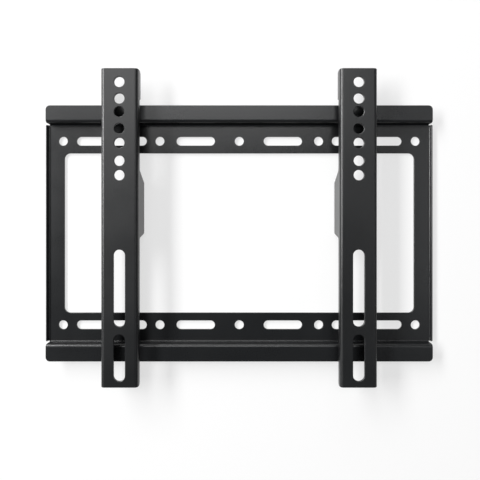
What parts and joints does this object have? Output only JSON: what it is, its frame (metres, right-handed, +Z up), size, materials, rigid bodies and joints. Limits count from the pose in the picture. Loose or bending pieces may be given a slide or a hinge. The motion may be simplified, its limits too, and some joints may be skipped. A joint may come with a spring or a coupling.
{
  "type": "fixed tv wall bracket",
  "caption": "Flat folded-steel wall plate with hanging rails and a window, and upright slotted arms hooked on the upper rail to carry a screen close to a wall.",
  "frame": {"origin": "middle of the wall plate's hole pattern, on the wall", "axes": "+X to the right as seen from the room, +Y into the wall, +Z up"},
  "size_m": [0.3408, 0.025, 0.2668],
  "materials": {
    "powder_coat": "satin black powder coat"
  },
  "bodies": {
    "root": {"wall_plate": "powder_coat", "left_arm": "powder_coat", "right_arm": "powder_coat"}
  },
  "joints": []
}
